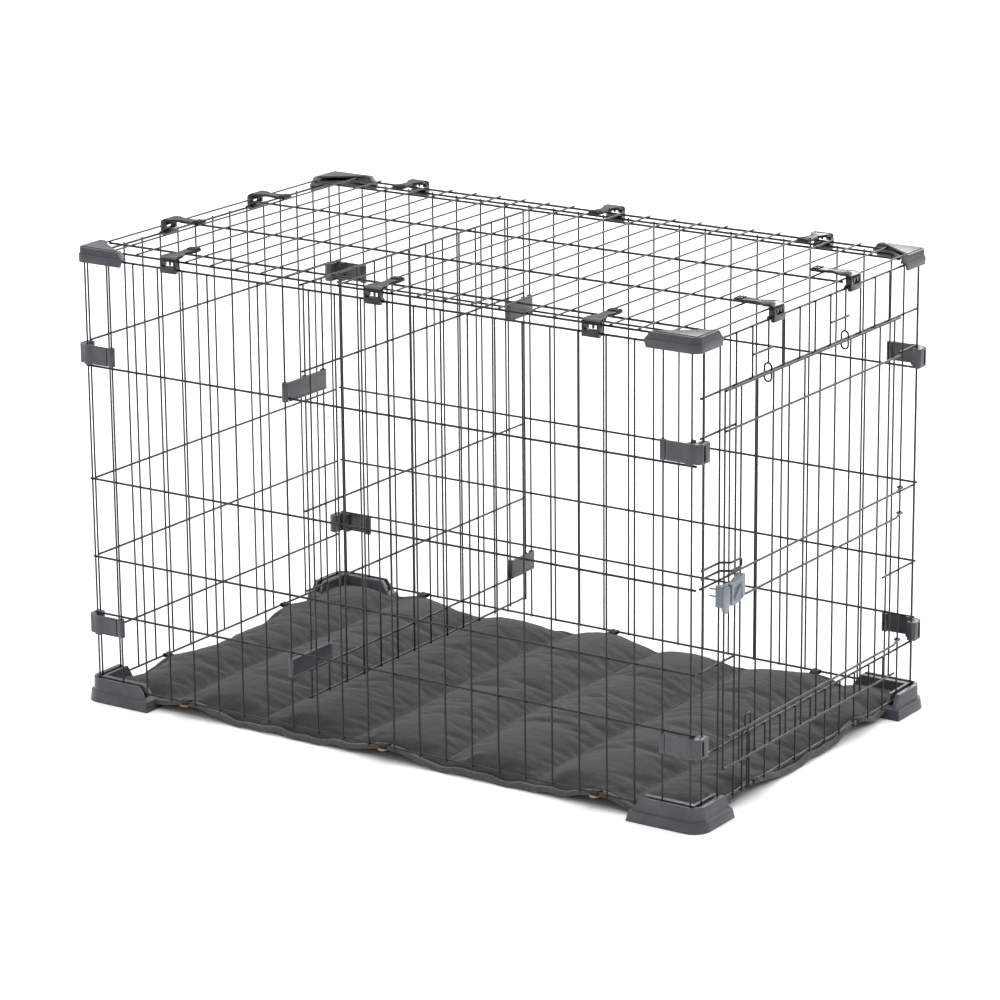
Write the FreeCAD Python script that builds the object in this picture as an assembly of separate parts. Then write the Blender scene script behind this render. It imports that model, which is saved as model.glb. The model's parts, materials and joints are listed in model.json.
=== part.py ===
"""Wire dog crate for a family pet: welded wire panels on plastic feet, caps and clips.

Millimetres. +Z is up and the feet stand on Z = 0. The crate is centred on X = Y = 0.
The front wall faces -Y and the wall with the door faces +X.
Every wire is its own rod, welded a hair into the wires it crosses.
"""
import FreeCAD
import Part

import math
import os

from FreeCAD import Vector

# ---- overall size -------------------------------------------------------------------
HALF_WIDTH = 467.0        # side walls: X of their upright wires
HALF_DEPTH = 281.0        # front and back walls: Y of their upright wires
BOTTOM_WIRE_Z = 22.0      # lowest wire of every wall
TOP_WIRE_Z = 606.0        # highest wire of every wall

# ---- wire ---------------------------------------------------------------------------
THIN = 1.2                # radius of the upright wires
THICK = 1.5               # radius of the level wires
WELD = 0.05               # how far two crossing wires are pressed into each other
CROSSING = THIN + THICK - WELD
UPRIGHT_LOW = BOTTOM_WIRE_Z - 3.0
UPRIGHT_HIGH = TOP_WIRE_Z + 2.0
WIRE_BEND = 3.0           # bend radius of the formed wires

# ---- front and back walls -------------------------------------------------------------
LONG_PITCH = 40.0
LONG_UPRIGHTS = 24
LONG_LAST_X = (LONG_UPRIGHTS - 1) / 2 * LONG_PITCH
LONG_LEVELS = (BOTTOM_WIRE_Z, 122.5, 200.0, 307.0, 461.0, TOP_WIRE_Z)
LONG_LEVEL_END = LONG_LAST_X + 5.0

# ---- side walls -----------------------------------------------------------------------
SHORT_PITCH = 38.1
SHORT_UPRIGHTS = 15
SHORT_FIRST_Y = -(SHORT_UPRIGHTS - 1) / 2 * SHORT_PITCH
SHORT_LEVEL_END = 2.0 - SHORT_FIRST_Y
SILL_Z = 91.5             # wire below the doorway
LOW_RAIL_Z = 200.0        # level wires beside the doorway
MID_RAIL_Z = 306.0
HIGH_RAIL_Z = 493.0
HEADER_Z = 542.0          # wire above the doorway
STUB_Z = 572.5            # short level wires above the header eyes
SHORT_LEVELS = (BOTTOM_WIRE_Z, SILL_Z, LOW_RAIL_Z, MID_RAIL_Z, HIGH_RAIL_Z, TOP_WIRE_Z)
JAMB = 2                  # upright on the latch side of the doorway
POST = 13                 # upright that the door is hinged on

# ---- bent wires round the doorway -----------------------------------------------------
EYE_UPRIGHTS = (4, 9)     # header uprights that end in a long ring
EYE_TOP_Z = 553.0
EYE_BOTTOM_Z = 530.0
EYE_INNER_X = 461.5
EYE_OUTER_X = 471.4
STRIKER_UPPER_Z = 328.0
STRIKER_LOWER_Z = 317.5
STRIKER_OUTER_X = 476.2
HAIRPIN_TOP_Z = 120.0
HAIRPIN_TOP_X = 471.2
HAIRPIN_Y = (-170.0, -157.3)

# ---- door -----------------------------------------------------------------------------
DOOR_X = 472.0            # upright wires of the door
DOOR_LEVEL_X = DOOR_X + CROSSING
DOOR_FIRST_Y = -224.7
DOOR_PITCH = 38.3
DOOR_UPRIGHTS = 12
DOOR_TOP_Z = 544.0
DOOR_HIGH_Z = 494.0
DOOR_BOTTOM_Z = 67.0
HINGE_WIRE_Z = (313.2, 278.6, 106.0)   # level wires that curl round the hinge post
CURL_RADIUS = 3.05        # centre line of the curl

# ---- door latch -----------------------------------------------------------------------
LATCH_Z = 286.5           # middle of the latch housing
SLIDER_LOW_Z = 277.5
SLIDER_HIGH_Z = 304.5
SLIDER_Y = (-241.5, -224.3)
SLIDER_FRONT_X = 478.0
PIN_RADIUS = 1.1

# ---- roof and divider -----------------------------------------------------------------
ROOF_LONG_Z = TOP_WIRE_Z + 8.5
ROOF_CROSS_Z = ROOF_LONG_Z + CROSSING
ROOF_LONG_Y = (-268.5, -227.0, -77.7, 77.7, 227.0, 268.5)
ROOF_HALF_X = 461.3
ROOF_HALF_Y = 272.0
DIVIDER_X = -140.0
DIVIDER_FIRST_Y = -238.0
DIVIDER_PITCH = 38.8
DIVIDER_UPRIGHTS = 14
DIVIDER_LEVELS = (50.0, 87.0, 195.0, 302.0, 487.0, 600.0)

# ---- plastic parts --------------------------------------------------------------------
BORE = THIN + 0.05        # snap fit of a clip round a thin wire
KNUCKLE = 4.2             # outer radius of a clip's grip
CLIP_REACH = 3.8          # how far a corner clip stands in front of the uprights
CORNER_CLIP_Z = (95.0, 465.0)
CORNER_CLIP_HEIGHT = 25.0
DIVIDER_CLIP_Z = (90.5, 457.0)
DIVIDER_CLIP_HEIGHT = 25.0
FOOT_HEIGHT = 32.0
FOOT_STEP_Z = 13.5
FOOT_SLOT_Z = 17.5        # the wall wires stand on this level inside the foot
CAP_BOTTOM_Z = TOP_WIRE_Z - 6.0
CAP_STEP_Z = TOP_WIRE_Z + 4.0
CAP_TOP_Z = TOP_WIRE_Z + 13.6
WALL_SLOT = (CROSSING + THICK + 0.3, THIN + 0.6)   # room for the wall wires, inward and outward
ROOF_LATCH_X = (-320.0, 0.0, 320.0)
ROOF_LATCH_Y = (-2.5 * SHORT_PITCH, 2.5 * SHORT_PITCH)
ROOF_LATCH_WIDTH = 25.0
ROOF_LATCH_BORE = THICK + 0.35
ROOF_LATCH_ARM_Z = 14.6   # underside of the arm above the axis
ROOF_LATCH_REACH = 54.0   # end of the arm from the axis

# ---- mattress -------------------------------------------------------------------------
PAD_HALF_X = 458.0
PAD_HALF_Y = 268.0
PAD_UNDERSIDE_Z = 0.05
PAD_HEIGHT = 42.0
PAD_NOTCH_X = (371.5, 446.0)   # the corners step back round the feet
PAD_NOTCH_Y = (208.0, 256.5)
TIE_WIDTH = 12.0
TIE_THICKNESS = 1.2
TIE_HALF_HEIGHT = 3.4
TIE_X = (-320.0, 0.0, 320.0)   # ties on the front and back, between two uprights
TIE_Y = (-3.5 * SHORT_PITCH, 3.5 * SHORT_PITCH)
BUTTON_RADIUS = 6.5
BUTTON_THICKNESS = 2.4


# ---- small helpers --------------------------------------------------------------------
def rod(start, end, radius):
    """Straight round wire between two points."""
    start = Vector(*start)
    run = Vector(*end) - start
    return Part.makeCylinder(radius, run.Length, start, run)


def block(x0, x1, y0, y1, z0, z1):
    """Axis-aligned box from its six limits."""
    return Part.makeBox(x1 - x0, y1 - y0, z1 - z0, Vector(x0, y0, z0))


def slab(points, along):
    """Solid over a flat outline of points, as thick and in the direction of along."""
    points = [Vector(*point) for point in points]
    face = Part.Face(Part.makePolygon(points + points[:1]))
    return face.extrude(Vector(*along))


def prism(outline, z0, z1):
    """Upright prism over a plan outline of (x, y) points."""
    return slab([(x, y, z0) for x, y in outline], (0, 0, z1 - z0))


def drum(x, y, radius, z0, z1):
    """Upright cylinder."""
    return Part.makeCylinder(radius, z1 - z0, Vector(x, y, z0))


def join(shapes):
    """Fuse overlapping shapes into one clean solid."""
    whole = shapes[0]
    for shape in shapes[1:]:
        whole = whole.fuse(shape)
    return whole.removeSplitter()


def carve(shape, tools):
    """Cut every tool out of the shape."""
    for tool in tools:
        shape = shape.cut(tool)
    return shape


def rounded(shape, radius, axis):
    """Round the straight edges that run along one axis."""
    def runs_along(edge):
        box = edge.BoundBox
        lengths = (box.XLength, box.YLength, box.ZLength)
        return lengths[axis] > 2 * radius and sum(lengths) - lengths[axis] < 1e-6

    return shape.makeFillet(radius, [edge for edge in shape.Edges if runs_along(edge)])


def bent_wire(points, bend, radius):
    """Round wire that follows straight runs with rounded bends between them."""
    points = [Vector(*point) for point in points]
    edges = []
    here = points[0]
    for before, corner, after in zip(points, points[1:], points[2:]):
        arriving = (corner - before).normalize()
        leaving = (after - corner).normalize()
        setback = bend * math.tan(arriving.getAngle(leaving) / 2)
        start = corner - arriving * setback
        end = corner + leaving * setback
        to_centre = (leaving - arriving).normalize()
        centre_distance = math.hypot(bend, setback)
        middle = corner + to_centre * (centre_distance - bend)
        if (start - here).Length > 1e-3:
            edges.append(Part.makeLine(here, start))
        edges.append(Part.Arc(start, middle, end).toShape())
        here = end
    if (points[-1] - here).Length > 1e-3:
        edges.append(Part.makeLine(here, points[-1]))
    path = Part.Wire(edges)
    section = Part.Wire(Part.makeCircle(radius, points[0], points[1] - points[0]))
    return path.makePipeShell([section], True, False)


def corners(shape):
    """The same part at the four corners, from the front right one."""
    across = shape.mirror(Vector(0, 0, 0), Vector(1, 0, 0))
    return {
        "front_right": shape,
        "front_left": across,
        "back_right": shape.mirror(Vector(0, 0, 0), Vector(0, 1, 0)),
        "back_left": across.mirror(Vector(0, 0, 0), Vector(0, 1, 0)),
    }


def save(node, shapes):
    """Write one node as a STEP file."""
    pieces = [solid for shape in shapes for solid in shape.Solids]
    for piece in pieces:
        if not piece.isValid() or piece.Volume <= 0:
            raise ValueError("bad solid in " + node)
    whole = pieces[0] if len(pieces) == 1 else Part.makeCompound(pieces)
    whole.exportStep("parts/" + node + ".step")
    print(node, len(pieces), "solids")


# ---- walls ----------------------------------------------------------------------------
def long_x(index):
    """X of one upright in the front and back walls."""
    return index * LONG_PITCH - LONG_LAST_X


def long_wall(side):
    """Front (side -1) or back (side +1) wall."""
    y = side * HALF_DEPTH
    level_y = side * (HALF_DEPTH - CROSSING)
    wires = []
    for index in range(LONG_UPRIGHTS):
        x = long_x(index)
        wires.append(rod((x, y, UPRIGHT_LOW), (x, y, UPRIGHT_HIGH), THIN))
    for z in LONG_LEVELS:
        wires.append(rod((-LONG_LEVEL_END, level_y, z), (LONG_LEVEL_END, level_y, z), THICK))
    return wires


def short_y(index):
    """Y of one upright in a side wall."""
    return SHORT_FIRST_Y + index * SHORT_PITCH


def side_upright(x, index, z0=UPRIGHT_LOW, z1=UPRIGHT_HIGH):
    """Upright wire of a side wall."""
    return rod((x, short_y(index), z0), (x, short_y(index), z1), THIN)


def side_level(x, z, y0=-SHORT_LEVEL_END, y1=SHORT_LEVEL_END):
    """Level wire of a side wall."""
    return rod((x, y0, z), (x, y1, z), THICK)


def left_wall():
    """Plain side wall."""
    uprights = [side_upright(-HALF_WIDTH, index) for index in range(SHORT_UPRIGHTS)]
    levels = [side_level(CROSSING - HALF_WIDTH, z) for z in SHORT_LEVELS]
    return uprights + levels


def right_wall():
    """Side wall with the doorway between the jamb and the hinge post."""
    x = HALF_WIDTH
    level_x = HALF_WIDTH - CROSSING
    wires = [side_level(level_x, z) for z in (BOTTOM_WIRE_Z, SILL_Z, HEADER_Z, TOP_WIRE_Z)]
    for index in range(SHORT_UPRIGHTS):
        if index <= JAMB or index >= POST:
            wires.append(side_upright(x, index))
            continue
        wires.append(side_upright(x, index, z1=SILL_Z + THICK))
        low = EYE_TOP_Z + THIN if index in EYE_UPRIGHTS else HEADER_Z - THICK
        wires.append(side_upright(x, index, z0=low))
    jamb_end = short_y(JAMB) + 4.0
    post_end = short_y(POST) - 3.0
    for z in (HIGH_RAIL_Z, MID_RAIL_Z, LOW_RAIL_Z):
        wires.append(side_level(level_x, z, y1=jamb_end))
    wires.append(side_level(level_x, HIGH_RAIL_Z, y0=post_end))
    wires.append(side_level(level_x, MID_RAIL_Z, y0=post_end))
    wires.append(side_level(level_x, LOW_RAIL_Z, y0=short_y(POST - 1)))
    for index in EYE_UPRIGHTS:
        start = short_y(index - 1) - 3.0
        wires.append(side_level(x + CROSSING, STUB_Z, y0=start, y1=short_y(index) + 4.0))
    return wires


# ---- bent wires round the doorway -------------------------------------------------------
def header_eye(y):
    """Long ring at the foot of a header upright, round the header wire."""
    half_width = (EYE_OUTER_X - EYE_INNER_X) / 2
    middle_x = (EYE_OUTER_X + EYE_INNER_X) / 2
    closing_gap = 0.1
    points = (
        (middle_x, y, EYE_TOP_Z),
        (EYE_OUTER_X, y, EYE_TOP_Z),
        (EYE_OUTER_X, y, EYE_BOTTOM_Z),
        (EYE_INNER_X, y, EYE_BOTTOM_Z),
        (EYE_INNER_X, y, EYE_TOP_Z),
        (middle_x - closing_gap, y, EYE_TOP_Z),
    )
    return bent_wire(points, half_width - closing_gap / 2, THIN)


def striker_loop():
    """Wire loop that comes out through the door beside the latch."""
    inside = HALF_WIDTH - CROSSING
    out_and_back = (
        (inside, SHORT_FIRST_Y + 2.0),
        (inside, SHORT_FIRST_Y + 44.0),
        (STRIKER_OUTER_X, SHORT_FIRST_Y + 51.2),
        (STRIKER_OUTER_X, short_y(JAMB) - 0.5),
    )
    points = [(x, y, STRIKER_UPPER_Z) for x, y in out_and_back]
    points += [(x, y, STRIKER_LOWER_Z) for x, y in reversed(out_and_back)]
    return bent_wire(points, WIRE_BEND, THICK)


def sill_hairpin():
    """Tall loop that stands on the bottom wire behind the door."""
    leg = (
        (HALF_WIDTH, UPRIGHT_LOW),
        (HALF_WIDTH, SILL_Z + 3.0),
        (HAIRPIN_TOP_X, SILL_Z + 13.0),
        (HAIRPIN_TOP_X, HAIRPIN_TOP_Z),
    )
    near, far = HAIRPIN_Y
    points = [(x, near, z) for x, z in leg]
    points += [(x, far, z) for x, z in reversed(leg)]
    return bent_wire(points, WIRE_BEND, THIN)


# ---- door -----------------------------------------------------------------------------
def door_y(index):
    """Y of one upright in the door."""
    return DOOR_FIRST_Y + index * DOOR_PITCH


def door_grid():
    """Uprights and plain level wires of the door."""
    start = door_y(0) - 2.0
    end = door_y(DOOR_UPRIGHTS - 1) + 10.0
    wires = []
    for index in range(DOOR_UPRIGHTS):
        foot = (DOOR_X, door_y(index), DOOR_BOTTOM_Z - THICK)
        head = (DOOR_X, door_y(index), DOOR_TOP_Z + THICK)
        wires.append(rod(foot, head, THIN))
    for z in (DOOR_TOP_Z, DOOR_HIGH_Z, DOOR_BOTTOM_Z):
        wires.append(rod((DOOR_LEVEL_X, start, z), (DOOR_LEVEL_X, end, z), THICK))
    return wires


def door_hinge_wire(z, start_y):
    """Level wire of the door whose end curls round the hinge post."""
    post_y = short_y(POST)
    near = HALF_WIDTH + CURL_RADIUS
    far = HALF_WIDTH - CURL_RADIUS
    points = (
        (DOOR_LEVEL_X, start_y, z),
        (DOOR_LEVEL_X, door_y(DOOR_UPRIGHTS - 1) + 8.0, z),
        (near, post_y - 7.0, z),
        (near, post_y + CURL_RADIUS, z),
        (far, post_y + CURL_RADIUS, z),
        (far, post_y - CURL_RADIUS, z),
        (HALF_WIDTH, post_y - CURL_RADIUS, z),
    )
    return bent_wire(points, CURL_RADIUS, THICK)


# ---- door latch -----------------------------------------------------------------------
def latch_housing():
    """Part of the door latch that is clamped to the door wires.

    Its face rises in a sweep towards the second upright of the door.
    """
    first = door_y(0)
    back_x = DOOR_X - THIN - 2.1
    face = (
        (9.5, -13.0), (25.0, -13.0), (37.0, -9.0), (41.0, -5.0), (41.0, 20.0), (36.0, 21.5),
        (29.0, 18.0), (22.0, 14.5), (9.5, 14.0),
    )
    outline = [(back_x, first + y, LATCH_Z + z) for y, z in face]
    shell = slab(outline, (9.3, 0, 0))
    hollow = slab([(DOOR_LEVEL_X + 2.4, first + y, LATCH_Z + z) for y, z in (
        (13.0, -8.0), (34.0, -8.0), (34.0, 12.0), (24.0, 9.5), (13.0, 9.0),
    )], (9.3, 0, 0))
    backing = block(back_x, back_x + 1.8, first - 3.0, first + 12.0, LATCH_Z - 11, LATCH_Z + 11)
    crest = slab([(DOOR_LEVEL_X + 1.0, first + y, LATCH_Z + z) for y, z in (
        (14.5, -5.5), (17.5, -5.5), (31.0, 10.5), (28.5, 10.5),
    )], (4.2, 0, 0))
    channel = block(473.6, 476.6, first + 6.0, first + 27.0, LATCH_Z - 3.2, LATCH_Z + 3.2)
    wire_room = [
        drum(DOOR_X, door_y(1), BORE, LATCH_Z - 20, LATCH_Z + 30),
        rod((DOOR_LEVEL_X, first + 30.0, HINGE_WIRE_Z[1]), (DOOR_LEVEL_X, first + 50.0, HINGE_WIRE_Z[1]),
            THICK + 0.05),
    ]
    return carve(join([carve(shell, [hollow]), backing, crest]), [channel] + wire_room)


def latch_slider():
    """Sliding part of the door latch: block, finger lever, guide bar and two pins."""
    near, far = SLIDER_Y
    front_x = SLIDER_FRONT_X
    body = block(474.0, front_x, near, far, SLIDER_LOW_Z, SLIDER_HIGH_Z)
    body = rounded(body, 1.2, 2)
    heel = block(469.9, 475.0, near, near + 7.0, SLIDER_LOW_Z, SLIDER_HIGH_Z)
    lever_z = SLIDER_LOW_Z - 9.0
    lever_face = (
        (near + 2.0, SLIDER_HIGH_Z - 5.0), (near + 2.0, lever_z + 9.0), (near + 5.0, lever_z + 2.0),
        (near + 8.5, lever_z), (near + 12.0, lever_z + 2.0), (far - 1.6, lever_z + 9.0),
        (far - 1.6, SLIDER_HIGH_Z - 5.0), (far - 4.5, SLIDER_HIGH_Z - 2.5),
        (near + 5.0, SLIDER_HIGH_Z - 2.5),
    )
    lever = slab([(front_x - 1.0, y, z) for y, z in lever_face], (4.4, 0, 0))
    bar = block(474.2, 476.2, far - 1.0, far + 12.5, LATCH_Z - 2.6, LATCH_Z + 2.6)
    pins = [
        rod((461.0, near + 0.6, z), (front_x - 3.0, near + 0.6, z), PIN_RADIUS)
        for z in (SLIDER_HIGH_Z - 4.5, SLIDER_HIGH_Z - 13.5)
    ]
    return join([body, heel, lever, bar] + pins)


# ---- roof and divider -------------------------------------------------------------------
def roof_panel():
    """Top panel: long wires below, cross wires above."""
    wires = []
    for index in range(LONG_UPRIGHTS):
        x = long_x(index)
        wires.append(rod((x, -ROOF_HALF_Y, ROOF_CROSS_Z), (x, ROOF_HALF_Y, ROOF_CROSS_Z), THIN))
    for y in ROOF_LONG_Y:
        wires.append(rod((-ROOF_HALF_X, y, ROOF_LONG_Z), (ROOF_HALF_X, y, ROOF_LONG_Z), THICK))
    return wires


def divider_y(index):
    """Y of one upright in the divider."""
    return DIVIDER_FIRST_Y + index * DIVIDER_PITCH


def divider_panel():
    """Removable panel that splits the crate."""
    start = divider_y(0) - 2.5
    end = divider_y(DIVIDER_UPRIGHTS - 1) + 2.5
    low = DIVIDER_LEVELS[0] - 2.0
    high = DIVIDER_LEVELS[-1] + 2.0
    level_x = DIVIDER_X - CROSSING
    wires = []
    for index in range(DIVIDER_UPRIGHTS):
        y = divider_y(index)
        wires.append(rod((DIVIDER_X, y, low), (DIVIDER_X, y, high), THIN))
    for z in DIVIDER_LEVELS:
        wires.append(rod((level_x, start, z), (level_x, end, z), THICK))
    return wires


def divider_clip(wire_ys, z0):
    """Clip that ties a wall upright to the end uprights of the divider.

    wire_ys starts with the wall upright. A notch lets the wall's level wire pass.
    """
    z1 = z0 + DIVIDER_CLIP_HEIGHT
    low, high = min(wire_ys), max(wire_ys)
    web = block(DIVIDER_X + THIN + 0.2, DIVIDER_X + KNUCKLE, low, high, z0, z1)
    rims = [
        block(DIVIDER_X + THIN + 0.2, DIVIDER_X + KNUCKLE + 1.2, low, high, edge, edge + 1.6)
        for edge in (z0, z1 - 1.6)
    ]
    grips = [drum(DIVIDER_X, y, KNUCKLE, z0, z1) for y in wire_ys]
    tools = [drum(DIVIDER_X, y, BORE, z0, z1) for y in wire_ys]
    mouth = THIN - 0.3
    tools += [block(DIVIDER_X - 5, DIVIDER_X, y - mouth, y + mouth, z0, z1) for y in wire_ys]
    wall_y = wire_ys[0]
    inward = 1 if wall_y < 0 else -1
    notch = sorted((wall_y + inward * 0.6, wall_y + inward * 4.8))
    crossing_z = LONG_LEVELS[4]
    tools.append(block(DIVIDER_X - 6, DIVIDER_X + 6, *notch, crossing_z - 5.0, crossing_z + 2.0))
    return carve(join([web] + rims + grips), tools)


# ---- plastic corner parts ---------------------------------------------------------------
def rounded_angle(reach, lengths, width, radius, z):
    """Closed plan outline of an L round the front right corner of the walls.

    reach is how far it stands outside the two wall planes, in X and in Y.
    """
    outer_x = HALF_WIDTH + reach[0]
    outer_y = HALF_DEPTH + reach[1]
    end_x = outer_x - lengths[0]
    end_y = lengths[1] - outer_y
    inner_x = outer_x - width
    inner_y = width - outer_y
    turn = radius * (1 - math.sqrt(0.5))
    a = Vector(end_x, -outer_y, z)
    b = Vector(outer_x - radius, -outer_y, z)
    c = Vector(outer_x - turn, turn - outer_y, z)
    d = Vector(outer_x, radius - outer_y, z)
    e = Vector(outer_x, end_y, z)
    f = Vector(inner_x, end_y, z)
    g = Vector(inner_x, inner_y, z)
    h = Vector(end_x, inner_y, z)
    edges = [Part.makeLine(a, b), Part.Arc(b, c, d).toShape(), Part.makeLine(d, e)]
    edges += [Part.makeLine(e, f), Part.makeLine(f, g), Part.makeLine(g, h)]
    edges.append(Part.makeLine(h, a))
    return Part.Wire(edges)


def tier(low, high):
    """Solid between two similar outlines at different heights."""
    return Part.makeLoft([low, high], True, True)


def wall_slots(inward, outward, z0, z1):
    """Room for the wires of the two walls that meet in the front right corner."""
    return [
        block(
            LONG_LAST_X - 160.0, LONG_LAST_X + 5.6,
            -HALF_DEPTH - outward, inward - HALF_DEPTH, z0, z1,
        ),
        block(
            HALF_WIDTH - inward, HALF_WIDTH + outward,
            4.0 - HALF_DEPTH, -150.0, z0, z1,
        ),
    ]


def foot():
    """Front right foot: wide sole, narrower upper part, slot for the wall wires."""
    sole = tier(
        rounded_angle((14.5, 11.0), (108.0, 82.0), 34.0, 24.0, 0.0),
        rounded_angle((12.5, 9.0), (103.0, 77.0), 30.0, 22.0, FOOT_STEP_Z),
    )
    upper = tier(
        rounded_angle((9.0, 5.3), (98.0, 73.0), 18.0, 18.0, FOOT_STEP_Z),
        rounded_angle((8.0, 4.5), (84.0, 62.0), 16.5, 16.5, FOOT_HEIGHT),
    )
    inward, outward = WALL_SLOT
    return carve(join([sole, upper]), wall_slots(inward, outward, FOOT_SLOT_Z, FOOT_HEIGHT + 1))


def cap():
    """Front right cap: covers the top wires where two walls and the roof meet.

    One web holds the roof up from below, the other lies over its wires.
    """
    skirt = tier(
        rounded_angle((5.0, 5.0), (73.5, 55.0), 10.3, 12.0, CAP_BOTTOM_Z),
        rounded_angle((5.0, 5.0), (77.0, 58.5), 10.3, 12.0, CAP_STEP_Z),
    )
    rim = tier(
        rounded_angle((3.4, 3.4), (75.4, 57.0), 8.7, 10.4, CAP_STEP_Z),
        rounded_angle((2.8, 2.8), (67.0, 48.5), 8.1, 10.0, CAP_TOP_Z),
    )
    side = HALF_WIDTH - 1.0
    front = 1.0 - HALF_DEPTH
    slot_top = TOP_WIRE_Z + 2.5
    low_web = ((side, front), (side, front + 40), (side - 51, front))
    top_web = ((side, front), (side, front + 43), (side - 60, front))
    webs = [
        prism(low_web, slot_top + 0.3, ROOF_LONG_Z - THICK - WELD),
        prism(top_web, ROOF_CROSS_Z + THIN + 0.2, CAP_TOP_Z + 1.0),
    ]
    return carve(join([skirt, rim] + webs), wall_slots(6.0, 1.7, CAP_BOTTOM_Z - 5, slot_top))


def corner_clip(z0):
    """Front right clip: ties the last two front uprights to the first side upright."""
    z1 = z0 + CORNER_CLIP_HEIGHT
    inner_x = LONG_LAST_X - LONG_PITCH
    wall_y = -HALF_DEPTH
    plate_y = wall_y - CLIP_REACH
    side_y = SHORT_FIRST_Y
    corner_x = HALF_WIDTH + 7.8
    knuckle = (
        (461.5, plate_y + 0.2), (469.5, plate_y + 1.0), (corner_x - 0.6, wall_y + 1.8),
        (corner_x, side_y + 3.2), (corner_x - 4.0, side_y + 5.2), (463.2, side_y + 4.4),
        (463.0, wall_y + 6.0), (461.5, wall_y + 4.0),
    )
    shapes = (
        drum(inner_x, wall_y, KNUCKLE, z0, z1),
        block(inner_x, 455, plate_y, plate_y + 2.4, z0, z1),
        block(453, 462, plate_y - 0.8, wall_y + 3.8, z0 - 1.4, z1),
        prism(knuckle, z0, z1),
        block(455, 461.8, wall_y + 3.4, wall_y + 7.4, z1 - 6, z1),
        block(455, 461.8, wall_y + 5.1, wall_y + 7.4, z1 - 6, z1 + 3),
    )
    relief = block(inner_x + 9.0, 449, plate_y - 0.1, plate_y + 0.5, z0 + 4, z1 - 4)
    tools = (
        drum(inner_x, wall_y, BORE, z0, z1),
        block(inner_x - 0.9, inner_x + 0.9, wall_y, wall_y + 6, z0, z1),
        block(inner_x + 4.3, inner_x + 6.2, plate_y - 0.1, plate_y + 1.5, z0, z1),
        drum(LONG_LAST_X, wall_y, BORE, z0 - 2, z1),
        block(LONG_LAST_X - 0.6, LONG_LAST_X + 0.6, wall_y, wall_y + 8, z0 - 2, z1 + 4),
        drum(HALF_WIDTH, side_y, BORE, z0, z1),
        block(HALF_WIDTH + 3.0, corner_x + 1, wall_y + 3.5, wall_y + 8.5, z0 + 2.5, z1 - 2.5),
        relief,
    )
    return carve(join(shapes), tools)


# ---- roof latches -----------------------------------------------------------------------
def roof_latch():
    """Roof latch, closed, with its axis along X through the origin and its arm towards +Y.

    It turns on the top wire of a wall. Its arm lies over the roof wires.
    """
    half = ROOF_LATCH_WIDTH / 2
    face_y = -CROSSING - 4.0
    arm_low = ROOF_LATCH_ARM_Z
    arm_high = arm_low + 3.4
    along = Vector(1, 0, 0)
    sleeve = Part.makeCylinder(4.4, 2 * half, Vector(-half, 0, 0), along)
    profile = (
        (face_y, -4.0), (0, -4.3), (1.5, -2.0), (1.5, arm_low), (10.0, arm_low),
        (10.0, arm_high), (-0.5, arm_high), (face_y + 1.2, arm_high - 2.6),
        (face_y, arm_high - 6.0),
    )
    body = slab([(-half, y, z) for y, z in profile], (2 * half, 0, 0))
    arm_outline = (
        (-half, 8.0), (half, 8.0), (5.5, 24.0), (9.0, 44.0), (8.0, ROOF_LATCH_REACH),
        (-8.0, ROOF_LATCH_REACH), (-9.0, 44.0), (-5.5, 24.0),
    )
    arm = prism(arm_outline, arm_low, arm_high)
    ridges = [
        block(-7.5, 7.5, y, y + 1.6, arm_high - 1.0, arm_high + 1.4)
        for y in (ROOF_LATCH_REACH - 10.0, ROOF_LATCH_REACH - 6.2, ROOF_LATCH_REACH - 2.4)
    ]
    window = block(-9.0, 9.0, face_y - 1, 6.0, 4.4, 11.2)
    teeth = [block(x - 1.4, x + 1.4, face_y + 0.1, face_y + 2.2, 7.0, 11.6) for x in (-3.8, 3.8)]
    throat = block(-half, half, 0, 8, -6.0, -1.3)
    throat.rotate(Vector(0, 0, 0), along, -30)
    bore = Part.makeCylinder(ROOF_LATCH_BORE, 2 * half, Vector(-half, 0, 0), along)
    shape = carve(join([sleeve, body, arm] + ridges), [window, throat, bore])
    return join([shape] + teeth)


def roof_latches():
    """Every roof latch by name: turned to its wall and moved to its place."""
    latches = {}
    turned = {"front": 0, "right": 90, "back": 180, "left": 270}
    for wall, angle in turned.items():
        lengthwise = wall in ("front", "back")
        places = ROOF_LATCH_X if lengthwise else ROOF_LATCH_Y
        wall_plane = HALF_DEPTH if lengthwise else HALF_WIDTH
        for number, place in enumerate(places, start=1):
            latch = roof_latch()
            latch.translate(Vector(0, CROSSING - wall_plane, TOP_WIRE_Z))
            latch.rotate(Vector(0, 0, 0), Vector(0, 0, 1), angle)
            latch.translate(Vector(place, 0, 0) if lengthwise else Vector(0, place, 0))
            latches["roof_latch_" + wall + "_" + str(number)] = latch
    return latches


# ---- mattress ---------------------------------------------------------------------------
def mattress():
    """Quilted pad on the floor between the feet, as a plain slab."""
    notch_in_x, notch_out_x = PAD_NOTCH_X
    notch_in_y, notch_out_y = PAD_NOTCH_Y
    quarter = (
        (PAD_HALF_X, notch_in_y), (notch_out_x, notch_in_y), (notch_out_x, notch_out_y),
        (notch_in_x, notch_out_y), (notch_in_x, PAD_HALF_Y),
    )
    outline = []
    for sign_x, sign_y, order in ((1, 1, 1), (-1, 1, -1), (-1, -1, 1), (1, -1, -1)):
        outline += [(sign_x * x, sign_y * y) for x, y in quarter[::order]]
    return prism(outline, PAD_UNDERSIDE_Z, PAD_HEIGHT)


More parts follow.
